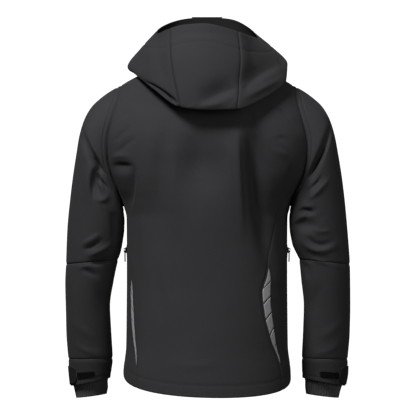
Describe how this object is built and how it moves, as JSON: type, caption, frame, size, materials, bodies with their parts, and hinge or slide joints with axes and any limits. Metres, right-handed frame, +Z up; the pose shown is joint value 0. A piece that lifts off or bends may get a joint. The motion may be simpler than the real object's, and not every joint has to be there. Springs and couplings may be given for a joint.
{
  "type": "softshell jacket",
  "caption": "Zipped, hooded softshell jacket in worn form, hollow body and sleeves, hood down on the back, strapped cuffs with knitted inner cuffs.",
  "frame": {"origin": "middle of the neck, level with the shoulder ends of the hood seam, where the wearer's neck holds the jacket up", "axes": "+Z up, +X to the wearer's left, -Y out of the front, +Y out of the back"},
  "size_m": [0.6294, 0.3098, 0.8459],
  "materials": {
    "softshell": "matt stretch softshell",
    "softshell_panel": "matt stretch softshell",
    "knit": "matt knit",
    "zip": "woven tape with moulded chain",
    "strap": "satin",
    "loop_tape": "looped pile",
    "zip_metal": "satin black"
  },
  "bodies": {
    "jacket": {"back_panel": "softshell", "hood_centre": "softshell", "hood_side_left": "softshell_panel", "front_left": "softshell", "side_panel_left": "softshell_panel", "upper_sleeve_left": "softshell", "lower_sleeve_left": "softshell", "cuff_left": "softshell_panel", "knit_cuff_left": "knit", "cuff_strap_left": "strap", "loop_tape_left": "loop_tape", "pocket_zip_left_tape": "zip", "pocket_zip_left_slider": "zip_metal", "hood_side_right": "softshell_panel", "front_right": "softshell", "side_panel_right": "softshell_panel", "upper_sleeve_right": "softshell", "lower_sleeve_right": "softshell", "cuff_right": "softshell_panel", "knit_cuff_right": "knit", "cuff_strap_right": "strap", "loop_tape_right": "loop_tape", "pocket_zip_right_tape": "zip", "pocket_zip_right_slider": "zip_metal", "front_zip_tape": "zip", "front_zip_slider": "zip_metal"},
    "front_zip_pull": {"front_zip_pull_tab": "zip_metal"},
    "pocket_zip_left_pull": {"pocket_zip_left_pull_tab": "zip_metal"},
    "pocket_zip_right_pull": {"pocket_zip_right_pull_tab": "zip_metal"}
  },
  "joints": [
    {"name": "front_zip_pull_hinge", "type": "hinge", "parent": "jacket", "child": "front_zip_pull", "pos_m": [-0.00002, -0.10164, 0.09469], "axis": [-1, 0, -0.0003], "range_deg": [0, 120]},
    {"name": "pocket_zip_left_pull_hinge", "type": "hinge", "parent": "jacket", "child": "pocket_zip_left_pull", "pos_m": [0.1812, -0.02121, -0.4092], "axis": [-0.1767, -0.9812, 0.0779], "range_deg": [0, 30]},
    {"name": "pocket_zip_right_pull_hinge", "type": "hinge", "parent": "jacket", "child": "pocket_zip_right_pull", "pos_m": [-0.1812, -0.02121, -0.4092], "axis": [-0.1768, 0.9812, -0.0779], "range_deg": [0, 30]}
  ]
}
